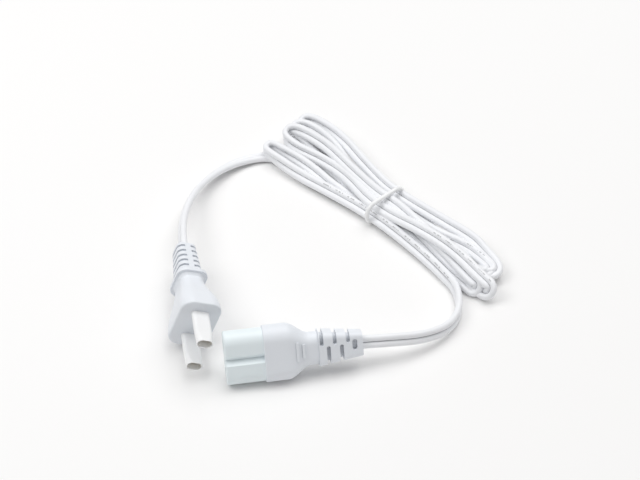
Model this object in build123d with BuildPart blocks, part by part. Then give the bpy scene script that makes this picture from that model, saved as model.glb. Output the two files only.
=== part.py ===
from build123d import *
import os
from math import cos, pi, radians, sin, tan

# A mains lead on a table top, z = 0: a two-pin plug, a flat twin cord tied in a
# hank, and a two-pole appliance connector. Sizes are in millimetres.
# On the plug and on the connector, width runs along the line through both poles,
# depth runs across it, and places are measured along the axis towards the cord.

# Flat twin cord: two round lobes joined by a web
LOBE_RADIUS = 1.35
WEB_THICKNESS = 0.6
CONDUCTOR_RADIUS = 0.6

# Sections of the ogee that joins each body to its neck
OGEE_SHARES = [step / 6 for step in range(7)]

# Plug pose: centre of the face on the table, heading of the cord end, lean of the width
PLUG_PLACE = (-25.8, -7.7)
PLUG_HEADING = 90.0
PLUG_LEAN = 21.0

# Plug body, from the face through the shoulder to the neck
FACE_WIDTH = 24.0
FACE_DEPTH = 16.5
FACE_CORNER = 5.0
FACE_EDGE = 0.7
SKIRT_LENGTH = 1.0
NECK_WIDTH = 12.0
NECK_DEPTH = 9.4
NECK_CORNER = 3.3

# Plug collar and strain relief
COLLAR_PLACE = 21.9
COLLAR_WIDTH = 15.4
COLLAR_DEPTH = 12.6
COLLAR_CORNER = 4.0
COLLAR_LENGTH = 1.4
FOOT_LENGTH = 1.3
FOOT_RISE = 0.8
FLARE_LENGTH = 3.0
RELIEF_WIDTH = 11.2
RELIEF_DEPTH = 9.6
RELIEF_CORNER = 2.8
RELIEF_END_WIDTH = 9.0
RELIEF_END_DEPTH = 8.0
RELIEF_END_CORNER = 2.4
PLUG_LENGTH = 40.5
RING_COUNT = 5
RING_SLOT = 1.1
RING_START_GAP = 0.8
RING_END_GAP = 1.8
RING_SPINE = 2.2
CORE_WALL = 0.4

# Blades, their sleeves, their carrier and their crimps
BLADE_SPACING = 12.7
BLADE_WIDTH = 6.1
BLADE_THICKNESS = 1.5
BLADE_EDGE = 0.6
BLADE_SHOULDER = 10.0
BLADE_REACH = 13.6
TIP_WIDTH = 4.8
TIP_THICKNESS = 1.0
TIP_EDGE = 0.4
BLADE_TANG = 2.0
BLADE_TANG_WIDTH = 3.0
SLEEVE_LENGTH = 15.8
SLEEVE_SHOULDER = 9.6
SLEEVE_CLEARANCE = 0.15
SLEEVE_MOUTH = (5.6, 3.6)
SLEEVE_WALL = 0.32
CARRIER_PLACE = 2.5
CARRIER_LENGTH = 3.6
CARRIER_MARGIN = 1.6
CARRIER_CORNER = 1.2
CRIMP_LENGTH = 4.4
CRIMP_WALL = 0.5
CRIMP_INSET = 0.6
STRAND_BARE = 0.8
LEG_TRIM = 0.1
LEG_STRAIGHT = 0.8
LEG_SPREAD = 6.4

# Connector pose: centre of the nose's front on the table, heading along X, lean of the width
CONNECTOR_PLACE = (-16.5, -24.6)
CONNECTOR_LEAN = 28.0

# Connector nose: a stadium with a groove along each broad side
NOSE_WIDTH = 21.3
NOSE_DEPTH = 9.5
NOSE_REACH = 14.9
NOSE_EDGE = 0.4
GROOVE_WIDTH = 3.8
GROOVE_DEPTH = 1.9
TANG_LENGTH = 5.0
TANG_INSET = 1.2

# Contacts in the nose
SOCKET_PITCH = 11.0
PIN_RADIUS = 1.2
PIN_CLEARANCE = 0.03
CONTACT_WALL = 0.4
CONTACT_RECESS = 1.8
CONTACT_FLOOR = 1.2
CONTACT_SLIT = 0.5
MOUTH_LEAD = 0.22

# Connector body, collar and strain relief
BODY_WIDTH = 22.5
BODY_DEPTH = 11.0
BODY_STRAIGHT = 8.5
BODY_EDGE = 0.4
SHANK_PLACE = 32.8
SHANK_WIDTH = 13.0
SHANK_DEPTH = 7.8
BOOT_PLACE = 35.8
BOOT_WIDTH = 14.0
BOOT_DEPTH = 9.0
BOOT_CORNER = 2.8
BOOT_END_WIDTH = 9.4
BOOT_END_DEPTH = 6.6
BOOT_END_CORNER = 1.7
CONNECTOR_LENGTH = 52.8
BOOT_SLOT = 1.5
BOOT_EDGE_CUT = 0.9
BOOT_CORE_DEPTH = 4.2
BOOT_END_CORE_DEPTH = 3.5
BOOT_SLOT_COUNT = 5
BOOT_START_GAP = 1.1
BOOT_END_GAP = 3.15
BOOT_SLOT_GAP = 0.3
BOOT_SLOT_OFFSET = 1.6
BOOT_WINDOW = (4.3, 1.9)
BOOT_WINDOW_OFFSET = 0.7
RIB_PLACES = (27.5, 29.9)
RIB_LENGTHS = (7.6, 5.6)
RIB_WIDTH = 1.0
RIB_RISE = 0.5
RIB_OFFSET = 0.8

# Hank: centre of the tie, heading towards the end that the connector's lead leaves
HANK_PLACE = (60.0, 54.1)
HANK_HEADING = -53.6
HANK_CORNER = 3.0
HANK_WAIST_WIDTH = 17.2
HANK_WAIST_TOP = 11.0
TIE_THICKNESS = 1.5
TIE_BEVEL = 0.45
TIE_GAP = 0.2
hank_waist_bottom = TIE_THICKNESS + 2 * TIE_GAP
# Outer shape of the hank: place along it, middle across it, width, underside, top
HANK_SECTIONS = [
    (-63.0, 5.0, 22.0, 0.0, 7.0),
    (-54.0, 4.0, 31.0, 0.0, 8.5),
    (-28.0, 1.8, 23.0, 0.6, 10.0),
    (0.0, 0.0, HANK_WAIST_WIDTH, hank_waist_bottom, HANK_WAIST_TOP),
    (26.0, 0.0, 18.6, 0.4, 11.8),
    (48.0, 0.0, 21.0, 0.0, 11.0),
    (62.0, -2.5, 16.0, 0.0, 8.5),
    (67.0, -4.0, 9.0, 0.0, 7.0),
]

# Free leads: the first run follows the strain relief, the other points lie where the cord does
LEAD_RUN = 12.0
ARC_SHARE = 0.45
PLUG_LEAD_POINTS = [
    (-21.8, 62.7, 8.8),
    (-14.6, 78.2, 5.2),
    (-2.8, 89.8, 3.2),
    (11.4, 95.0, 3.0),
    (25.8, 94.7, 3.0),
]
CONNECTOR_LEAD_POINTS = [
    (59.6, -21.2, 8.0),
    (70.6, -15.4, 5.0),
    (78.0, -6.4, 3.4),
    (80.6, 4.8, 3.0),
    (78.6, 15.8, 3.0),
    (74.3, 25.7, 3.0),
]

cord_width = 4 * LOBE_RADIUS
leg_radius = LOBE_RADIUS - LEG_TRIM
crimp_radius = CONDUCTOR_RADIUS + CRIMP_WALL
sleeve_bore = (BLADE_WIDTH + 2 * SLEEVE_CLEARANCE, BLADE_THICKNESS + 2 * SLEEVE_CLEARANCE)
bore_radius = PIN_RADIUS + PIN_CLEARANCE
contact_radius = bore_radius + CONTACT_WALL
mouth_radius = bore_radius + MOUTH_LEAD

# The plug rests on the lower corner of its face, the connector on the lower end of its body
plug_height = (
    (FACE_WIDTH / 2 - FACE_CORNER) * cos(radians(PLUG_LEAN))
    + (FACE_DEPTH / 2 - FACE_CORNER) * sin(radians(PLUG_LEAN))
    + FACE_CORNER
)
plug_axis = Vector(1, 0, 0).rotate(Axis.Z, PLUG_HEADING)
plug = Plane(
    origin=(*PLUG_PLACE, plug_height),
    x_dir=Vector(0, 0, 1).rotate(Axis((0, 0, 0), plug_axis), PLUG_LEAN),
    z_dir=plug_axis,
)
connector_height = (BODY_WIDTH - BODY_DEPTH) / 2 * cos(radians(CONNECTOR_LEAN)) + BODY_DEPTH / 2
connector = Plane(
    origin=(*CONNECTOR_PLACE, connector_height),
    x_dir=Vector(0, 0, 1).rotate(Axis.X, -CONNECTOR_LEAN),
    z_dir=(1, 0, 0),
)
hank_axis = Vector(1, 0, 0).rotate(Axis.Z, HANK_HEADING)
hank = Plane(origin=(*HANK_PLACE, 0), x_dir=hank_axis.rotate(Axis.Z, 90), z_dir=hank_axis)

os.makedirs("parts", exist_ok=True)


def finish(builder, name):
    """Label a finished piece and write it."""
    builder.part.label = name
    export_step(builder.part, f"parts/{name}.step")


def rounded(plane, width, depth, corner):
    """A rounded rectangle on the plane."""
    with BuildSketch(plane) as outline:
        RectangleRounded(width, depth, corner)
    return outline.sketch


def stadium(plane, width, depth):
    """A stadium on the plane, its round ends across the width."""
    with BuildSketch(plane) as outline:
        SlotOverall(width, depth)
    return outline.sketch


def eased(first, last, share):
    """A size part of the way from first to last, eased at both ends as an ogee is."""
    return first + (last - first) * (1 - cos(pi * share)) / 2


def disc(plane, place, radius):
    """A circle on the plane, at a place along its width."""
    with BuildSketch(plane) as outline:
        with Locations((place, 0)):
            Circle(radius)
    return outline.sketch


def flat_section(plane, place, thickness, width, edge):
    """A blade's section on the plane, at a place along the plane's width."""
    with BuildSketch(plane) as outline:
        with Locations((place, 0)):
            RectangleRounded(thickness, width, edge)
    return outline.sketch


def tube_section(plane, place, bore, wall):
    """A sleeve's bore, or its outside with the wall added, at a place along the plane's width."""
    width, depth = bore
    with BuildSketch(plane) as outline:
        with Locations((place, 0)):
            SlotOverall(width + 2 * wall, depth + 2 * wall, rotation=90)
    return outline.sketch


def twin_section(plane):
    """The cord's section on the plane: two lobes side by side, joined by a web."""
    with BuildSketch(plane) as section:
        with Locations((-LOBE_RADIUS, 0), (LOBE_RADIUS, 0)):
            Circle(LOBE_RADIUS)
        Rectangle(2 * LOBE_RADIUS, WEB_THICKNESS)
    return section.sketch


def arc_radii(points):
    """The largest arc that fits at each corner of a route."""
    radii = []
    for before, corner, after in zip(points, points[1:], points[2:]):
        run_in, run_out = corner - before, after - corner
        half_turn = radians(run_in.get_angle(run_out)) / 2
        radii.append(ARC_SHARE * min(run_in.length, run_out.length) / tan(half_turn))
    return radii


def lead_path(end_plane, points):
    """A lead's line: straight out of the strain relief, then tangent arcs at each point."""
    route = [end_plane.origin, end_plane.offset(LEAD_RUN).origin, *(Vector(point) for point in points)]
    with BuildLine() as path:
        FilletPolyline(*route, radius=arc_radii(route))
    return path.wire(), arc_radii(route)


def leg_path(plane, side, inner, outer, start, end):
    """The line of one leg of a split cord, from between the lobes out to a crimp."""
    points = [(inner, start), (inner, start - LEG_STRAIGHT), (outer, end + LEG_STRAIGHT), (outer, end)]
    with BuildLine() as path:
        Polyline(*(plane.from_local_coords((side * across, 0, along)) for across, along in points))
    return path.wire()


# Plug blades, each with a tang and a crimp barrel behind it
blade_root = CARRIER_PLACE + CARRIER_LENGTH
crimp_place = blade_root + BLADE_TANG
plug_crimp_offset = BLADE_SPACING / 2 - CRIMP_INSET
plug_strand_end = crimp_place + CRIMP_LENGTH + STRAND_BARE
blades = {}
strands = {}
for name, side in (("upper", 1), ("lower", -1)):
    blade_offset = side * BLADE_SPACING / 2
    crimp_offset = side * plug_crimp_offset
    with BuildPart() as blade:
        shoulder = flat_section(
            plug.offset(-BLADE_SHOULDER), blade_offset, BLADE_THICKNESS, BLADE_WIDTH, BLADE_EDGE
        )
        tip = flat_section(plug.offset(-BLADE_REACH), blade_offset, TIP_THICKNESS, TIP_WIDTH, TIP_EDGE)
        extrude(shoulder, amount=BLADE_SHOULDER + blade_root)
        loft([tip, shoulder], ruled=True)
        with BuildSketch(plug.offset(blade_root)):
            with Locations((blade_offset, 0)):
                Rectangle(BLADE_THICKNESS, BLADE_TANG_WIDTH)
        extrude(amount=BLADE_TANG)
        extrude(disc(plug.offset(crimp_place), crimp_offset, crimp_radius), amount=CRIMP_LENGTH)
        extrude(
            disc(plug.offset(crimp_place), crimp_offset, CONDUCTOR_RADIUS),
            amount=CRIMP_LENGTH,
            mode=Mode.SUBTRACT,
        )
    finish(blade, f"plug_blade_{name}")
    blades[name] = blade.part

    with BuildPart() as strand:
        extrude(
            disc(plug.offset(crimp_place), crimp_offset, CONDUCTOR_RADIUS),
            amount=plug_strand_end - crimp_place,
        )
    finish(strand, f"plug_strands_{name}")
    strands[name] = strand.part

    with BuildPart() as sleeve:
        for wall, mode in ((SLEEVE_WALL, Mode.ADD), (0, Mode.SUBTRACT)):
            waist = tube_section(plug.offset(-SLEEVE_SHOULDER), blade_offset, sleeve_bore, wall)
            mouth = tube_section(plug.offset(-SLEEVE_LENGTH), blade_offset, SLEEVE_MOUTH, wall)
            extrude(waist, amount=SLEEVE_SHOULDER, mode=mode)
            loft([mouth, waist], ruled=True, mode=mode)
    finish(sleeve, f"blade_sleeve_{name}")

# Blade carrier, moulded round both blades
with BuildPart() as carrier:
    carrier_width = BLADE_SPACING + BLADE_THICKNESS + 2 * CARRIER_MARGIN
    carrier_depth = BLADE_WIDTH + 2 * CARRIER_MARGIN
    extrude(
        rounded(plug.offset(CARRIER_PLACE), carrier_width, carrier_depth, CARRIER_CORNER),
        amount=CARRIER_LENGTH,
    )
    for blade_part in blades.values():
        add(blade_part, mode=Mode.SUBTRACT)
finish(carrier, "plug_blade_carrier")

# Cord end inside the plug: the twin cord splits into a leg for each blade
fork_place = plug_strand_end + 2 * LEG_STRAIGHT + LEG_SPREAD
with BuildPart() as plug_tail:
    extrude(twin_section(plug.offset(fork_place)), amount=PLUG_LENGTH - fork_place)
    for side in (1, -1):
        leg = leg_path(plug, side, LOBE_RADIUS, plug_crimp_offset, fork_place, plug_strand_end)
        start = Plane(origin=leg @ 0, z_dir=leg % 0)
        sweep(disc(start, 0, leg_radius), path=leg, transition=Transition.RIGHT)
finish(plug_tail, "plug_cord_tail")

# Plug body with its collar and slotted strain relief, moulded round all of these
with BuildPart() as plug_body:
    relief_place = COLLAR_PLACE + COLLAR_LENGTH + FLARE_LENGTH
    collar = rounded(plug.offset(COLLAR_PLACE), COLLAR_WIDTH, COLLAR_DEPTH, COLLAR_CORNER)
    flare = rounded(
        plug.offset(COLLAR_PLACE + COLLAR_LENGTH), COLLAR_WIDTH, COLLAR_DEPTH, COLLAR_CORNER
    )
    relief = rounded(plug.offset(relief_place), RELIEF_WIDTH, RELIEF_DEPTH, RELIEF_CORNER)
    relief_end = rounded(
        plug.offset(PLUG_LENGTH), RELIEF_END_WIDTH, RELIEF_END_DEPTH, RELIEF_END_CORNER
    )
    extrude(rounded(plug, FACE_WIDTH, FACE_DEPTH, FACE_CORNER), amount=SKIRT_LENGTH)
    loft([
        rounded(
            plug.offset(SKIRT_LENGTH + share * (COLLAR_PLACE - SKIRT_LENGTH)),
            eased(FACE_WIDTH, NECK_WIDTH, share),
            eased(FACE_DEPTH, NECK_DEPTH, share),
            eased(FACE_CORNER, NECK_CORNER, share),
        )
        for share in OGEE_SHARES
    ])
    face = plug_body.faces().sort_by(Axis(plug.origin, plug.z_dir))[0]
    fillet(face.edges(), FACE_EDGE)
    loft(
        [
            rounded(plug.offset(COLLAR_PLACE - FOOT_LENGTH), NECK_WIDTH, NECK_DEPTH, NECK_CORNER),
            rounded(
                plug.offset(COLLAR_PLACE),
                NECK_WIDTH + 2 * FOOT_RISE,
                NECK_DEPTH + 2 * FOOT_RISE,
                NECK_CORNER + FOOT_RISE,
            ),
        ],
        ruled=True,
    )
    extrude(collar, amount=COLLAR_LENGTH)
    loft([flare, relief], ruled=True)
    loft([relief, relief_end], ruled=True)
    first_ring = relief_place + RING_START_GAP
    ring_pitch = (PLUG_LENGTH - RING_END_GAP - first_ring) / (RING_COUNT - 1)
    for ring in range(RING_COUNT):
        ring_place = first_ring + ring * ring_pitch
        with BuildSketch(plug.offset(ring_place - RING_SLOT / 2)):
            Rectangle(2 * RELIEF_WIDTH, 2 * RELIEF_DEPTH)
            Rectangle(2 * RELIEF_WIDTH, RING_SPINE, mode=Mode.SUBTRACT)
        extrude(amount=RING_SLOT, mode=Mode.SUBTRACT)
    extrude(
        stadium(plug.offset(relief_place), cord_width + 2 * CORE_WALL, 2 * (LOBE_RADIUS + CORE_WALL)),
        amount=PLUG_LENGTH - relief_place,
    )
    for inner_part in (*blades.values(), *strands.values(), carrier.part, plug_tail.part):
        add(inner_part, mode=Mode.SUBTRACT)
finish(plug_body, "plug_overmould")

# Connector contacts: slit sockets with a floor, and a crimp barrel behind the floor
connector_strand_end = NOSE_REACH + CRIMP_LENGTH + STRAND_BARE
contacts = {}
connector_strands = {}
for name, side in (("upper", 1), ("lower", -1)):
    socket_offset = side * SOCKET_PITCH / 2
    socket_start = connector.offset(CONTACT_RECESS)
    crimp_start = connector.offset(NOSE_REACH)
    bore_depth = NOSE_REACH - CONTACT_FLOOR - CONTACT_RECESS
    with BuildPart() as contact:
        extrude(disc(socket_start, socket_offset, contact_radius), amount=bore_depth + CONTACT_FLOOR)
        extrude(disc(socket_start, socket_offset, bore_radius), amount=bore_depth, mode=Mode.SUBTRACT)
        with BuildSketch(socket_start):
            with Locations((socket_offset - side * contact_radius / 2, 0)):
                Rectangle(contact_radius, CONTACT_SLIT)
        extrude(amount=bore_depth, mode=Mode.SUBTRACT)
        extrude(disc(crimp_start, socket_offset, crimp_radius), amount=CRIMP_LENGTH)
        extrude(
            disc(crimp_start, socket_offset, CONDUCTOR_RADIUS), amount=CRIMP_LENGTH, mode=Mode.SUBTRACT
        )
    finish(contact, f"connector_contact_{name}")
    contacts[name] = contact.part

    with BuildPart() as strand:
        extrude(
            disc(crimp_start, socket_offset, CONDUCTOR_RADIUS), amount=connector_strand_end - NOSE_REACH
        )
    finish(strand, f"connector_strands_{name}")
    connector_strands[name] = strand.part

# Connector nose: grooved stadium, a tang inside the body, a stepped bore for each contact
with BuildPart() as nose:
    with BuildSketch(connector):
        SlotOverall(NOSE_WIDTH, NOSE_DEPTH)
        for side in (1, -1):
            with BuildLine():
                Polyline(
                    (-GROOVE_WIDTH / 2, side * NOSE_DEPTH / 2),
                    (0, side * (NOSE_DEPTH / 2 - GROOVE_DEPTH)),
                    (GROOVE_WIDTH / 2, side * NOSE_DEPTH / 2),
                    close=True,
                )
            make_face(mode=Mode.SUBTRACT)
    extrude(amount=NOSE_REACH)
    front = nose.faces().sort_by(Axis(connector.origin, connector.z_dir))[0]
    chamfer(front.edges(), NOSE_EDGE)
    extrude(
        stadium(connector.offset(NOSE_REACH), NOSE_WIDTH - 2 * TANG_INSET, NOSE_DEPTH - 2 * TANG_INSET),
        amount=TANG_LENGTH,
    )
    for side in (1, -1):
        socket_offset = side * SOCKET_PITCH / 2
        extrude(disc(connector, socket_offset, mouth_radius), amount=CONTACT_RECESS, mode=Mode.SUBTRACT)
        extrude(
            disc(connector.offset(CONTACT_RECESS), socket_offset, contact_radius),
            amount=NOSE_REACH + TANG_LENGTH - CONTACT_RECESS,
            mode=Mode.SUBTRACT,
        )
finish(nose, "connector_nose")

# Cord end inside the connector: the twin cord splits into a leg for each contact
connector_fork = connector_strand_end + 2 * LEG_STRAIGHT + LEG_SPREAD
with BuildPart() as connector_tail:
    extrude(twin_section(connector.offset(connector_fork)), amount=CONNECTOR_LENGTH - connector_fork)
    for side in (1, -1):
        leg = leg_path(
            connector, side, LOBE_RADIUS, SOCKET_PITCH / 2, connector_fork, connector_strand_end
        )
        start = Plane(origin=leg @ 0, z_dir=leg % 0)
        sweep(disc(start, 0, leg_radius), path=leg, transition=Transition.RIGHT)
finish(connector_tail, "connector_cord_tail")

# Connector body with grip ribs and a strain relief whose slots open on alternate sides
with BuildPart() as connector_body:
    boot_length = CONNECTOR_LENGTH - BOOT_PLACE
    slot_pitch = (boot_length - BOOT_START_GAP - BOOT_END_GAP) / BOOT_SLOT_COUNT
    ogee_place = NOSE_REACH + BODY_STRAIGHT
    extrude(stadium(connector.offset(NOSE_REACH), BODY_WIDTH, BODY_DEPTH), amount=BODY_STRAIGHT)
    loft([
        stadium(
            connector.offset(ogee_place + share * (SHANK_PLACE - ogee_place)),
            eased(BODY_WIDTH, SHANK_WIDTH, share),
            eased(BODY_DEPTH, SHANK_DEPTH, share),
        )
        for share in OGEE_SHARES
    ])
    extrude(
        stadium(connector.offset(SHANK_PLACE), SHANK_WIDTH, SHANK_DEPTH), amount=BOOT_PLACE - SHANK_PLACE
    )
    for side in (1, -1):
        for place, length in zip(RIB_PLACES, RIB_LENGTHS):
            rib_share = (place - ogee_place) / (SHANK_PLACE - ogee_place)
            rib_top = eased(BODY_DEPTH, SHANK_DEPTH, rib_share) / 2 + RIB_RISE
            with BuildSketch(connector.offset(place - RIB_WIDTH / 2)):
                with Locations((RIB_OFFSET, side * rib_top / 2)):
                    Rectangle(length, rib_top)
            extrude(amount=RIB_WIDTH)
    front = connector_body.faces().sort_by(Axis(connector.origin, connector.z_dir))[0]
    fillet(front.edges(), BODY_EDGE)
    boot_ends = (
        (connector.offset(BOOT_PLACE), BOOT_WIDTH, BOOT_DEPTH, BOOT_CORNER),
        (connector.offset(CONNECTOR_LENGTH), BOOT_END_WIDTH, BOOT_END_DEPTH, BOOT_END_CORNER),
    )
    core_ends = (
        (connector.offset(BOOT_PLACE), BOOT_WIDTH - 2 * BOOT_EDGE_CUT, BOOT_CORE_DEPTH),
        (connector.offset(CONNECTOR_LENGTH), BOOT_END_WIDTH - 2 * BOOT_EDGE_CUT, BOOT_END_CORE_DEPTH),
    )
    loft([rounded(*end) for end in boot_ends], ruled=True)
    broad_side = Plane(
        origin=connector.offset(BOOT_PLACE).origin, x_dir=connector.x_dir, z_dir=connector.y_dir
    )
    for slot in range(BOOT_SLOT_COUNT):
        slot_side = 1 if slot % 2 == 0 else -1
        slot_place = BOOT_START_GAP + slot * slot_pitch
        with BuildSketch(broad_side):
            with Locations((BOOT_SLOT_OFFSET + slot_side * (BOOT_SLOT_GAP + BOOT_WIDTH) / 2, -slot_place)):
                SlotOverall(BOOT_WIDTH, BOOT_SLOT)
        extrude(amount=BOOT_DEPTH, both=True, mode=Mode.SUBTRACT)
    with BuildSketch(broad_side):
        with Locations((BOOT_WINDOW_OFFSET, BOOT_END_GAP - boot_length)):
            SlotOverall(*BOOT_WINDOW)
    extrude(amount=BOOT_DEPTH, both=True, mode=Mode.SUBTRACT)
    loft([stadium(*end) for end in core_ends], ruled=True)
    inner_parts = (*contacts.values(), *connector_strands.values(), nose.part, connector_tail.part)
    for inner_part in inner_parts:
        add(inner_part, mode=Mode.SUBTRACT)
finish(connector_body, "connector_overmould")

# Hank of spare cord
with BuildPart() as hank_body:
    for place, middle, width, bottom, top in HANK_SECTIONS:
        with BuildSketch(hank.offset(place)):
            with Locations((middle, (bottom + top) / 2)):
                RectangleRounded(width, top - bottom, HANK_CORNER)
    loft(ruled=True)
finish(hank_body, "cord_hank")

# Free leads, from each strain relief to the hank's surface
for name, end_plane, points in (
    ("plug_lead", plug.offset(PLUG_LENGTH), PLUG_LEAD_POINTS),
    ("connector_lead", connector.offset(CONNECTOR_LENGTH), CONNECTOR_LEAD_POINTS),
):
    section = stadium(end_plane, cord_width, 2 * LOBE_RADIUS)
    path, radii = lead_path(end_plane, points)
    with BuildPart() as lead:
        sweep(section, path=path)
        print(name, "arc radii", [round(radius, 1) for radius in radii])
        print(name, "volume", round(lead.part.volume, 1), "of", round(section.area * path.length, 1))
        add(hank_body.part, mode=Mode.SUBTRACT)
    finish(lead, name)

# Band that ties the hank at its waist, with bevelled edges
with BuildPart() as tie:
    waist_height = HANK_WAIST_TOP - hank_waist_bottom
    with BuildSketch(hank.offset(-TIE_THICKNESS / 2)):
        with Locations((0, hank_waist_bottom + waist_height / 2)):
            for reach, mode in ((TIE_GAP + TIE_THICKNESS, Mode.ADD), (TIE_GAP, Mode.SUBTRACT)):
                RectangleRounded(
                    HANK_WAIST_WIDTH + 2 * reach, waist_height + 2 * reach, HANK_CORNER + reach, mode=mode
                )
    extrude(amount=TIE_THICKNESS)
    rims = tie.faces().filter_by(GeomType.PLANE).sort_by(Axis(hank.origin, hank.z_dir))
    chamfer(rims[0].edges() + rims[-1].edges(), TIE_BEVEL)
finish(tie, "hank_tie")
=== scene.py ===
import math

import bpy
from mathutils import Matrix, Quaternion, Vector


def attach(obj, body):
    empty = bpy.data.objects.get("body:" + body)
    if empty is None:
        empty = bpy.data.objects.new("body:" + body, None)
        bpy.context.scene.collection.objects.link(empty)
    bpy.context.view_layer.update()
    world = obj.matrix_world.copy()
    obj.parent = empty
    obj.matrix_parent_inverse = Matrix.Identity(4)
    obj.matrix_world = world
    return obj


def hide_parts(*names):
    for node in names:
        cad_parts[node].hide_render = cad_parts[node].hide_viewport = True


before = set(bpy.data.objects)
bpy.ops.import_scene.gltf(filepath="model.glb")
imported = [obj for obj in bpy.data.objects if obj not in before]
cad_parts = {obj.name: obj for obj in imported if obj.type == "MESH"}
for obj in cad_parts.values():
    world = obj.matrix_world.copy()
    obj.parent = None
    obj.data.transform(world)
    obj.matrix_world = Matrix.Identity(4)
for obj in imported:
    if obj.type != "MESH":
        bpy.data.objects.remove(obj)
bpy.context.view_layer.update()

scene = bpy.context.scene
MM = 0.001
UP = Vector((0.0, 0.0, 1.0))

# Camera, at the viewing angle of the photograph
CAMERA_PLACE = Vector((-52.16, -481.0, 530.3)) * MM
TARGET = Vector((30.8, 42.8, 0.0)) * MM
SENSOR_WIDTH = 36.0
LENS = 102.5

# Flat twin cord, in millimetres: its section, and where it leaves the plug
LOBE_RADIUS = 1.35
WEB_THICKNESS = 0.6
LOBE_STEPS = 10
SHARP_ANGLE = math.radians(50)
PLUG_EXIT = (-25.8, 32.8, 12.7)

# Points that the cord's line gets for each of its control points
LINE_STEPS = 7
# The cord's twist is evened out over this length, as a bell curve of this spread and cut off at this window.
# Steep stretches, where a lean from upright says little, count less.
TWIST_REACH = 6.0
TWIST_SPREAD = 0.7
TWIST_WINDOW = 2.0
LEVEL_POWER = 4
LEAST_WEIGHT = 0.001

# Leads as points of the row frame, each with the lean of the cord's width from upright in degrees
PLUG_LEAD = [
    (PLUG_EXIT, 21),
    ((-25.8, 44.8, 12.7), 21),
    ((-21.8, 62.7, 8.8), 26),
    ((-14.6, 78.2, 5.2), 35),
    ((-2.8, 89.8, 2.8), 55),
    ((8.0, 94.6, 1.7), 76),
    ((17.5, 95.2, 1.5), 84),
]
CONNECTOR_LEAD = [
    ((80.0, 4.4, 2.8), -14),
    ((78.8, -7.8, 2.9), 4),
    ((72.0, -17.2, 4.0), 14),
    ((60.6, -22.6, 6.7), 24),
    ((47.3, -24.7, 9.9), 28),
    ((36.3, -24.6, 10.577), 28),
]

# Hank: the centre of its tie, and its heading. Its own places are (along, across, height) from that centre.
HANK_PLACE = Vector((60.0, 54.1, 0.0))
HANK_HEADING = math.radians(-53.6)
HANK_ALONG = Vector((math.cos(HANK_HEADING), math.sin(HANK_HEADING), 0.0))
HANK_ACROSS = Vector((-math.sin(HANK_HEADING), math.cos(HANK_HEADING), 0.0))
# Where each strand passes the tie, in the order the cord runs: (across, height)
TIE_SLOTS = [
    (0.4, 2.1), (7.1, 7.0), (5.6, 2.4), (2.4, 4.7), (-1.6, 4.6), (0.6, 8.2), (-4.0, 6.9), (-4.8, 2.1),
    (-7.4, 3.6),
]
# Ends of the leads that lie in the hank, with their leans
PLUG_SIDE = [((-46.0, -6.0, 1.5), 84), ((-24.0, -5.0, 1.8), 90), ((-7.0, *TIE_SLOTS[0]), 100)]
CONNECTOR_SIDE = [
    ((0.0, *TIE_SLOTS[-1]), -50),
    ((8.0, -7.6, 4.0), -50),
    ((20.0, -8.0, 3.2), -48),
    ((33.0, -9.4, 2.9), -44),
    ((44.0, -11.4, 2.8), -34),
]
# Lean of the cord's width from upright, to the back of the hank: at the tie, midway and outside
LEANS = (62, 58, 50)
# The same at the four corners of a turn: for one that stands up, leans out, lies down and curls under
UPRIGHT = (14, 0, 0, 14)
LEANING = (58, 40, 20, 40)
LYING = (55, 60, 105, 70)
CURLED = (70, 80, 80, 70)
# Each loop's reach from the tie, then (across, height) going out, at the turn, after it and coming back
RIGHT_LOOPS = [
    (57.8, (0.4, 2.3), (-2.6, 4.2), (8.2, 5.4), (9.4, 6.8), LYING),
    (55.8, (2.4, 3.4), (-3.0, 4.8), (4.4, 5.2), (5.0, 5.4), LYING),
    (57.9, (-7.4, 2.4), (-9.2, 2.3), (-7.4, 5.7), (-3.9, 6.0), CURLED),
    (63.4, (-2.4, 8.8), (-5.6, 7.6), (-8.0, 2.6), (-3.4, 2.5), CURLED),
]
LEFT_LOOPS = [
    (62.4, (16.0, 6.6), (17.4, 5.8), (10.4, 2.8), (9.4, 2.3), UPRIGHT),
    (62.0, (11.0, 5.6), (12.6, 5.6), (4.4, 2.8), (2.6, 2.3), LEANING),
    (60.8, (7.0, 7.7), (6.8, 7.4), (-0.8, 4.4), (1.4, 4.6), LEANING),
    (60.6, (-5.4, 4.9), (-6.5, 5.2), (-11.8, 4.8), (-11.0, 3.4), UPRIGHT),
]
# Places along each leg of a loop, and how far over to the loop a strand is midway
TIE_RUN = 7.0
MIDWAY = 24.0
OUTSIDE = 40.0
MIDWAY_SHARE = 0.45
# Strands that stray from the way between tie and loop, by (side, turn, leg), with their shift midway
STRAYS = {
    (1, 1, "back"): (-2.0, 0.0),
    (1, 3, "out"): (0.0, 1.6),
    (-1, 1, "out"): (-1.6, -1.0),
    (-1, 2, "back"): (2.4, 0.2),
    (-1, 3, "out"): (-0.8, -0.9),
}
# Ends of the turns: how far they are drawn in, the span too tight for that, and their room from OUTSIDE
END_PULL = 0.36
TIGHT_SPAN = 4.0
TURN_MARGIN = 4.0

# Band round the hank
TIE_SIZE = (19.9, 10.0)
TIE_PLACE = (0.6, -0.9, 5.95)
TIE_SKEW = 0.07
TIE_CORNER = 4.5
TIE_RADIUS = 0.95
TIE_RINGS = 64
TIE_SIDES = 14

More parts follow.
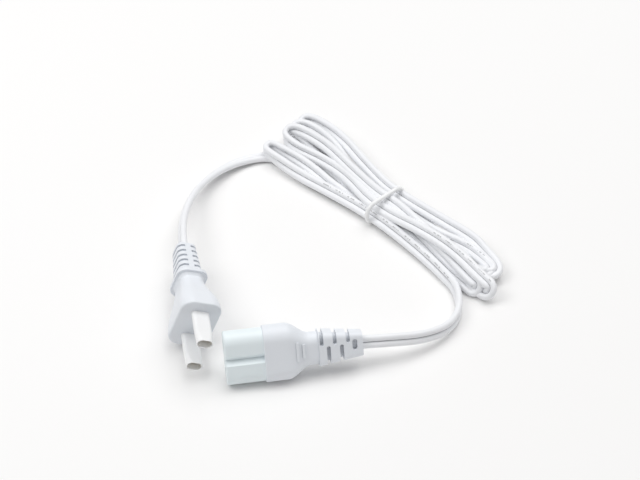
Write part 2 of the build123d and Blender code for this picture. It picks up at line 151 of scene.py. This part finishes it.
# Plastics: colour, roughness, and the scale (per metre) and depth (in millimetres) of their grain
BODY_PVC = ((0.85, 0.88, 0.925), 0.42, 900.0, 0.06)
NOSE_PLASTIC = ((0.87, 0.945, 0.97), 0.36, 700.0, 0.03)
CORD_PVC = ((0.92, 0.93, 0.955), 0.38, 800.0, 0.04)
SLEEVE_PLASTIC = ((0.97, 0.975, 0.98), 0.3, 500.0, 0.03)
CARRIER_PLASTIC = ((0.70, 0.70, 0.71), 0.45, 700.0, 0.04)
BAND_PLASTIC = ((0.96, 0.965, 0.97), 0.28, 600.0, 0.03)
CLOUD_SCALE = 90.0
CLOUD_DETAIL = 4.0
SHADE_DEPTH = 0.955
SHEEN_SPREAD = 0.06
GRAIN_DETAIL = 3.0
GRAIN_STRENGTH = 0.25
# The thin sleeves let a little light through: its share, its colours' reach and its depth in millimetres
SLEEVE_GLOW = 0.1
GLOW_REACH = (1.0, 0.97, 0.93)
GLOW_DEPTH = 2.0
# Painted shade deep in the slots of the connector's body: how far they are felt, in millimetres, and the
# tone deep inside
SLOT_SHADE_REACH = 1.6
SLOT_SHADE_TONE = 0.45
SLOT_SHADE_START = 0.75
SLOT_SHADE_SAMPLES = 16

# Cord print, and painted shade along the seam between its lobes: width and place round the cord are shares
# of its outline, lengths along it are millimetres
PRINT_AND_SEAM_SHADE_MAP = "along"
SEAM_SHADE_WIDTH = 0.06
SEAM_SHADE_TONE = 0.5
PRINT_HEIGHT = 0.03
PRINT_TONE = 0.6
WORD_PERIOD = 6.4
WORD_SHARE = 0.62
STROKE_SCALE = 1.1
STROKE_DETAIL = 1.0
STROKE_LEVEL = 0.46
# Runs of print: the strand, the place round it, and from where to where, as length from the tie
PRINT_RUNS = [(8, 0.85, -28.0, 47.0), (6, 0.35, 27.0, 62.0), (3, 0.605, -57.0, -40.0)]

# Metals: dark and light shade, and roughness
BRASS = ((0.80, 0.64, 0.36), (0.92, 0.80, 0.55), 0.28)
COPPER = ((0.70, 0.33, 0.20), (0.86, 0.46, 0.30), 0.32)
TARNISH_SCALE = 300.0
TARNISH_DETAIL = 5.0
POLISHED = -0.08
TARNISHED = 0.1

# Floor and light, in metres and watts
FLOOR_HALF = 4.0
FLOOR_COLOUR = (0.93, 0.925, 0.92, 1.0)
FLOOR_ROUGHNESS = 0.9
WORLD_COLOUR = (1.0, 1.0, 1.0, 1.0)
WORLD_STRENGTH = 0.35
LIGHTS = [("key", (0.45, 0.45, 1.6), 1.5, 17.4), ("side", (-0.75, 0.1, 1.1), 0.8, 6.0)]


# Shape of the cord
def hank_point(along, across, height):
    """A point of the row frame from its place along, across and above the hank's tie."""
    point = HANK_PLACE + along * HANK_ALONG + across * HANK_ACROSS
    return (point.x, point.y, height)


def midway(slot, outside, leg):
    """(across, height) part of the way from the tie to where a loop opens out."""
    stray = Vector(STRAYS.get(leg, (0.0, 0.0)))
    return Vector(slot).lerp(Vector(outside), MIDWAY_SHARE) + stray


def loop_points(side, number, slot_out, slot_back, loop):
    """One loop, from the tie round its turn and back to the tie, each point with its lean."""
    reach, out, turn, turned, back, corners = loop
    span = Vector(turned) - Vector(turn)
    entry = reach - min(span.length, reach - OUTSIDE - TURN_MARGIN)
    pull = END_PULL * max(0.0, 1.0 - TIGHT_SPAN / span.length) * span
    tie, mid, outside = LEANS
    stations = [
        (TIE_RUN, slot_out, -tie),
        (MIDWAY, midway(slot_out, out, (side, number, "out")), -mid),
        (OUTSIDE, out, -outside),
        (entry, turn, -corners[0]),
        (reach, Vector(turn) + pull, -corners[1]),
        (reach, Vector(turned) - pull, corners[2]),
        (entry, turned, corners[3]),
        (OUTSIDE, back, outside),
        (MIDWAY, midway(slot_back, back, (side, number, "back")), mid),
        (TIE_RUN, slot_back, tie),
    ]
    return [(hank_point(side * along, *place), side * lean) for along, place, lean in stations]


def hank_route():
    """The strands of the hank, one after another, each point with its lean."""
    route = []
    for turn, (right, left) in enumerate(zip(RIGHT_LOOPS, LEFT_LOOPS)):
        first, second, third = TIE_SLOTS[2 * turn : 2 * turn + 3]
        route.append((hank_point(0.0, *first), -LEANS[0]))
        route += loop_points(1, turn, first, second, right)
        route.append((hank_point(0.0, *second), LEANS[0]))
        route += loop_points(-1, turn, second, third, left)
    return route


def cord_route():
    """The whole cord from plug to connector, each point with its lean."""
    plug_side = [(hank_point(*place), lean) for place, lean in PLUG_SIDE]
    connector_side = [(hank_point(*place), lean) for place, lean in CONNECTOR_SIDE]
    return PLUG_LEAD + plug_side + hank_route() + connector_side + CONNECTOR_LEAD


def eased(leans):
    """The same leans, each taken by half turns to the one nearest the lean before it."""
    near = []
    for lean in leans:
        near.append(lean + 180 * round((near[-1] - lean) / 180) if near else lean)
    return near


def read_spline(name, points):
    """Points along the NURBS line of a list of control points."""
    curve = bpy.data.curves.new(name, "CURVE")
    curve.dimensions = "3D"
    curve.resolution_u = LINE_STEPS
    spline = curve.splines.new("NURBS")
    spline.points.add(len(points) - 1)
    for control, point in zip(spline.points, points):
        control.co = (*point, 1.0)
    spline.order_u = 3
    spline.use_endpoint_u = True
    holder = bpy.data.objects.new(name, curve)
    mesh = bpy.data.meshes.new_from_object(holder)
    line = [vertex.co.copy() for vertex in mesh.vertices]
    bpy.data.objects.remove(holder)
    bpy.data.curves.remove(curve)
    bpy.data.meshes.remove(mesh)
    return line


def tangents_of(line):
    """Unit directions along a line of points."""
    last = len(line) - 1
    return [(line[min(i + 1, last)] - line[max(i - 1, 0)]).normalized() for i in range(last + 1)]


def places_of(line):
    """Length along a line at each of its points."""
    places = [0.0]
    for a, b in zip(line, line[1:]):
        places.append(places[-1] + (b - a).length)
    return places


def carried_along(tangents):
    """Directions square to a line, carried along it from upright without a twist."""
    carried = []
    reference = UP
    for i, tangent in enumerate(tangents):
        if i:
            reference = tangents[i - 1].rotation_difference(tangent) @ reference
        reference = (reference - reference.dot(tangent) * tangent).normalized()
        carried.append(reference)
    return carried


def lean_turns(tangents, carried, leans):
    """Turns from the carried directions to the leans, each by half turns nearest to the one before it."""
    turns = []
    for tangent, reference, lean in zip(tangents, carried, leans):
        upright = (UP - UP.dot(tangent) * tangent).normalized()
        wanted = Quaternion(tangent, math.radians(lean)) @ upright
        turn = math.atan2(reference.cross(wanted).dot(tangent), reference.dot(wanted))
        if turns:
            turn += math.pi * round((turns[-1] - turn) / math.pi)
        turns.append(turn)
    return turns


def evened(values, weights, places, reach):
    """Weighted means of values along a line, taken over the reach."""
    means = []
    low = high = 0
    for place in places:
        while places[low] < place - TWIST_WINDOW * reach:
            low += 1
        while high < len(places) and places[high] < place + TWIST_WINDOW * reach:
            high += 1
        total = share = 0.0
        for j in range(low, high):
            far = (places[j] - place) / (TWIST_SPREAD * reach)
            near = weights[j] * math.exp(-0.5 * far**2)
            total += near * values[j]
            share += near
        means.append(total / share)
    return means


def width_directions(tangents, leans, places):
    """The direction of the cord's width at each point: upright with its lean, evened along the cord."""
    carried = carried_along(tangents)
    turns = lean_turns(tangents, carried, leans)
    weights = [tangent.cross(UP).length ** LEVEL_POWER + LEAST_WEIGHT for tangent in tangents]
    turns = evened(turns, weights, places, TWIST_REACH * MM)
    return [Quaternion(tangent, turn) @ start for tangent, turn, start in zip(tangents, turns, carried)]


def twin_outline(lobe, web):
    """The cord's section: two lobes side by side, with a notch where the web joins them."""
    notch = math.asin(web / 2 / lobe)
    sweep = math.pi - notch
    right = [-sweep + 2 * sweep * step / LOBE_STEPS for step in range(LOBE_STEPS + 1)]
    outline = [(lobe + lobe * math.cos(a), lobe * math.sin(a)) for a in right]
    outline += [(-x, -y) for x, y in outline]
    return outline


# Meshes
def ring_faces(rings, count, closed=False):
    """Faces between rings of points, one ring after another."""
    faces = []
    for ring in range(rings if closed else rings - 1):
        here, there = ring * count, (ring + 1) % rings * count
        for k in range(count):
            n = (k + 1) % count
            faces.append((here + k, here + n, there + n, there + k))
    return faces


def smooth_piece(name, verts, faces):
    """A new object of the scene, with a smooth mesh."""
    mesh = bpy.data.meshes.new(name)
    mesh.from_pydata(verts, [], faces)
    mesh.polygons.foreach_set("use_smooth", [True] * len(mesh.polygons))
    mesh.update()
    obj = bpy.data.objects.new(name, mesh)
    scene.collection.objects.link(obj)
    return obj


def flat_cord(line, tangents, widths, places):
    """The cord's section carried along its line, with closed ends and a map of length and outline."""
    outline = twin_outline(LOBE_RADIUS * MM, WEB_THICKNESS * MM)
    count, rings = len(outline), len(line)
    verts = [
        p + width * x + tangent.cross(width) * y
        for p, tangent, width in zip(line, tangents, widths)
        for x, y in outline
    ]
    ends = [tuple(reversed(range(count))), tuple(range((rings - 1) * count, rings * count))]
    piece = smooth_piece("flat_cord", verts, ring_faces(rings, count) + ends)
    spots = [
        (place, edge / count)
        for start, end in zip(places, places[1:])
        for k in range(count)
        for place, edge in ((start, k), (start, k + 1), (end, k + 1), (end, k))
    ]
    layer = piece.data.uv_layers.new(name=PRINT_AND_SEAM_SHADE_MAP)
    for loop, spot in zip(layer.data, spots):
        loop.uv = spot
    piece.data.set_sharp_from_angle(angle=SHARP_ANGLE)
    return piece


def tie_band():
    """A round band, drawn tight round the strands."""
    half_width, half_height = (side / 2 - TIE_CORNER for side in TIE_SIZE)
    line = []
    for step in range(TIE_RINGS):
        angle = 2 * math.pi * (step + 0.5) / TIE_RINGS
        across = TIE_CORNER * math.cos(angle) + math.copysign(half_width, math.cos(angle))
        height = TIE_CORNER * math.sin(angle) + math.copysign(half_height, math.sin(angle))
        place = Vector(TIE_PLACE) + Vector((TIE_SKEW * across, across, height))
        line.append(Vector(hank_point(*place)) * MM)
    verts = []
    for i, p in enumerate(line):
        tangent = (line[(i + 1) % TIE_RINGS] - line[i - 1]).normalized()
        out = tangent.cross(HANK_ALONG).normalized()
        over = tangent.cross(out)
        for k in range(TIE_SIDES):
            a = 2 * math.pi * k / TIE_SIDES
            verts.append(p + MM * TIE_RADIUS * (math.cos(a) * out + math.sin(a) * over))
    return smooth_piece("hank_band", verts, ring_faces(TIE_RINGS, TIE_SIDES, closed=True))


# Materials
class Finish:
    """A new material, with tools that add nodes to it."""

    def __init__(self, name):
        self.material = bpy.data.materials.new(name)
        self.material.use_nodes = True
        self.tree = self.material.node_tree
        self.shader = self.tree.nodes["Principled BSDF"]

    def node(self, kind, inputs=(), **settings):
        """A new node, with values or other nodes' outputs at its inputs."""
        new = self.tree.nodes.new(kind)
        for key, value in settings.items():
            setattr(new, key, value)
        for key, value in dict(inputs).items():
            if isinstance(value, bpy.types.NodeSocket):
                self.tree.links.new(value, new.inputs[key])
            else:
                new.inputs[key].default_value = value
        return new

    def calc(self, operation, first, second=0.0):
        """The result of a sum on two values."""
        return self.node("ShaderNodeMath", {0: first, 1: second}, operation=operation).outputs["Value"]

    def noise(self, scale, detail):
        """A cloud of noise that stays with the object."""
        place = self.node("ShaderNodeTexCoord").outputs["Object"]
        cloud = self.node("ShaderNodeTexNoise", {"Vector": place, "Scale": scale, "Detail": detail})
        return cloud.outputs["Fac"]

    def shades(self, factor, dark, light):
        """A colour between two shades."""
        ramp = self.node("ShaderNodeValToRGB", {"Fac": factor})
        ramp.color_ramp.elements[0].color = (*dark, 1.0)
        ramp.color_ramp.elements[1].color = (*light, 1.0)
        return ramp.outputs["Color"]

    def spread(self, factor, low, high):
        """A value between two limits."""
        limits = {"Value": factor, "To Min": low, "To Max": high}
        return self.node("ShaderNodeMapRange", limits).outputs["Result"]

    def drive(self, socket, value):
        """Feed one of the shader's inputs."""
        self.tree.links.new(value, self.shader.inputs[socket])

    def fix(self, socket, value):
        """Set one of the shader's inputs, the same all over."""
        self.shader.inputs[socket].default_value = value


def plastic(name, colour, roughness, grain, depth, glow=0.0, darken=None):
    """Moulded plastic: a faint cloud in its colour and finish, and a fine moulded grain."""
    finish = Finish(name)
    cloud = finish.noise(CLOUD_SCALE, CLOUD_DETAIL)
    tone = finish.shades(cloud, [SHADE_DEPTH * part for part in colour], colour)
    # darken scales the colour: painted shade in slots or seams, and the cord's print
    if darken:
        scaled = {"Vector": tone, "Scale": darken(finish)}
        tone = finish.node("ShaderNodeVectorMath", scaled, operation="SCALE").outputs[0]
    finish.drive("Base Color", tone)
    finish.drive("Roughness", finish.spread(cloud, roughness - SHEEN_SPREAD, roughness + SHEEN_SPREAD))
    bump = {"Height": finish.noise(grain, GRAIN_DETAIL), "Strength": GRAIN_STRENGTH, "Distance": depth * MM}
    finish.drive("Normal", finish.node("ShaderNodeBump", bump).outputs["Normal"])
    if glow:
        finish.fix("Subsurface Weight", glow)
        finish.fix("Subsurface Radius", GLOW_REACH)
        finish.fix("Subsurface Scale", GLOW_DEPTH * MM)
    return finish.material


def metal(name, dark, light, roughness):
    """Drawn metal: tarnish in clouds, in its colour and its finish."""
    finish = Finish(name)
    cloud = finish.noise(TARNISH_SCALE, TARNISH_DETAIL)
    finish.drive("Base Color", finish.shades(cloud, dark, light))
    finish.fix("Metallic", 1.0)
    finish.drive("Roughness", finish.spread(cloud, roughness + POLISHED, roughness + TARNISHED))
    return finish.material


def painted_slot_shade(finish):
    """Painted shade over a body: darker deep in its slots, where the walls keep light out."""
    reach = {"Distance": SLOT_SHADE_REACH * MM}
    near = finish.node("ShaderNodeAmbientOcclusion", reach, samples=SLOT_SHADE_SAMPLES, only_local=True)
    limits = {"Value": near.outputs["AO"], "From Max": SLOT_SHADE_START, "To Min": SLOT_SHADE_TONE}
    return finish.node("ShaderNodeMapRange", limits).outputs["Result"]


def tie_passed(strand):
    """Length along the cord, in millimetres, where a strand passes the tie."""
    spot = Vector(hank_point(0.0, *TIE_SLOTS[strand])) * MM
    return min(zip(places, cord_line), key=lambda pair: (pair[1] - spot).length)[0] / MM


def print_and_seam_shade(finish):
    """Tone along the cord: painted shade in the seam between its lobes, grey in broken lines of print."""
    calc = finish.calc

    def within(value, middle, half):
        return calc("LESS_THAN", calc("ABSOLUTE", calc("SUBTRACT", value, middle)), half)

    def toned(mark, tone):
        return calc("SUBTRACT", 1.0, calc("MULTIPLY", mark, 1.0 - tone))

    map_spot = finish.node("ShaderNodeUVMap", uv_map=PRINT_AND_SEAM_SHADE_MAP).outputs["UV"]
    spot = finish.node("ShaderNodeSeparateXYZ", {"Vector": map_spot}).outputs
    along, around = calc("DIVIDE", spot["X"], MM), spot["Y"]
    # Place round one lobe, counted so that the seam to the other lobe is at 0.5
    points = 2 * (LOBE_STEPS + 1)
    half = calc("FRACT", calc("ADD", calc("MULTIPLY", around, 2.0), 0.5 + 1 / points))
    # Painted shade: a dark line along the seam between the two lobes
    seam = within(half, 0.5, SEAM_SHADE_WIDTH)
    printed = 0.0
    for strand, place, start, end in PRINT_RUNS:
        row = within(around, place, PRINT_HEIGHT / 2)
        run = within(along, tie_passed(strand) + (start + end) / 2, (end - start) / 2)
        printed = calc("MAXIMUM", printed, calc("MULTIPLY", row, run))
    words = calc("LESS_THAN", calc("FRACT", calc("DIVIDE", along, WORD_PERIOD)), WORD_SHARE)
    rhythm = {"W": along, "Scale": STROKE_SCALE, "Detail": STROKE_DETAIL}
    strokes = finish.node("ShaderNodeTexNoise", rhythm, noise_dimensions="1D").outputs["Fac"]
    marks = calc("MULTIPLY", calc("MULTIPLY", words, printed), calc("GREATER_THAN", strokes, STROKE_LEVEL))
    return calc("MULTIPLY", toned(seam, SEAM_SHADE_TONE), toned(marks, PRINT_TONE))


# Cord and band
route = cord_route()
cord_line = read_spline("cord route", [Vector(point) * MM for point, _ in route])
lean_points = [(lean, 0.0, 0.0) for lean in eased(lean for _, lean in route)]
cord_leans = [point.x for point in read_spline("cord leans", lean_points)]
tangents, places = tangents_of(cord_line), places_of(cord_line)
cord = flat_cord(cord_line, tangents, width_directions(tangents, cord_leans, places), places)
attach(cord, "root")
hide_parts("plug_lead", "cord_hank", "connector_lead")
band = tie_band()
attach(band, "root")
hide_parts("hank_tie")

# Finishes
cord_white = plastic("cord_pvc", *CORD_PVC)
sleeve_white = plastic("sleeve_plastic", *SLEEVE_PLASTIC, glow=SLEEVE_GLOW)
brass = metal("brass", *BRASS)
copper = metal("copper", *COPPER)
FINISHES = {
    "plug_overmould": plastic("body_pvc", *BODY_PVC),
    # The connector's body gets painted shade deep in its slots
    "connector_overmould": plastic("body_pvc_slot_shaded", *BODY_PVC, darken=painted_slot_shade),
    "connector_nose": plastic("nose_plastic", *NOSE_PLASTIC),
    "plug_blade_carrier": plastic("carrier_plastic", *CARRIER_PLASTIC),
    "plug_cord_tail": cord_white,
    "connector_cord_tail": cord_white,
}
for level in ("upper", "lower"):
    FINISHES["blade_sleeve_" + level] = sleeve_white
    FINISHES["plug_blade_" + level] = brass
    FINISHES["connector_contact_" + level] = brass
    FINISHES["plug_strands_" + level] = copper
    FINISHES["connector_strands_" + level] = copper
for name, finish in FINISHES.items():
    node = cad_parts[name]
    node.data.materials.clear()
    node.data.materials.append(finish)
# The cord's colour carries its print and painted shade along its seams
cord.data.materials.append(plastic("cord_pvc_printed_seam_shaded", *CORD_PVC, darken=print_and_seam_shade))
band.data.materials.append(plastic("tie_band", *BAND_PLASTIC))

# Stage
corners = [(x * FLOOR_HALF, y * FLOOR_HALF, 0.0) for x, y in ((-1, -1), (1, -1), (1, 1), (-1, 1))]
floor_mesh = bpy.data.meshes.new("floor")
floor_mesh.from_pydata(corners, [], [(0, 1, 2, 3)])
floor = bpy.data.objects.new("floor", floor_mesh)
scene.collection.objects.link(floor)
floor_finish = Finish("floor")
floor_finish.fix("Base Color", FLOOR_COLOUR)
floor_finish.fix("Roughness", FLOOR_ROUGHNESS)
floor_finish.fix("Specular IOR Level", 0.0)
floor.data.materials.append(floor_finish.material)

world = bpy.data.worlds.new("world")
scene.world = world
world.use_nodes = True
sky = world.node_tree.nodes["Background"]
sky.inputs["Color"].default_value = WORLD_COLOUR
sky.inputs["Strength"].default_value = WORLD_STRENGTH


def facing(place, target):
    """The turn that makes a camera or a light at a place look at the target."""
    return (target - place).to_track_quat("-Z", "Y").to_euler()


for name, place, width, power in LIGHTS:
    light = bpy.data.objects.new(name, bpy.data.lights.new(name, "AREA"))
    light.data.size = width
    light.data.energy = power
    light.location = place
    light.rotation_euler = facing(Vector(place), TARGET)
    scene.collection.objects.link(light)

camera = bpy.data.objects.new("camera", bpy.data.cameras.new("camera"))
scene.collection.objects.link(camera)
camera.data.sensor_width = SENSOR_WIDTH
camera.data.lens = LENS
camera.location = CAMERA_PLACE
camera.rotation_euler = facing(CAMERA_PLACE, TARGET)
scene.camera = camera
scene.view_settings.view_transform = "Standard"
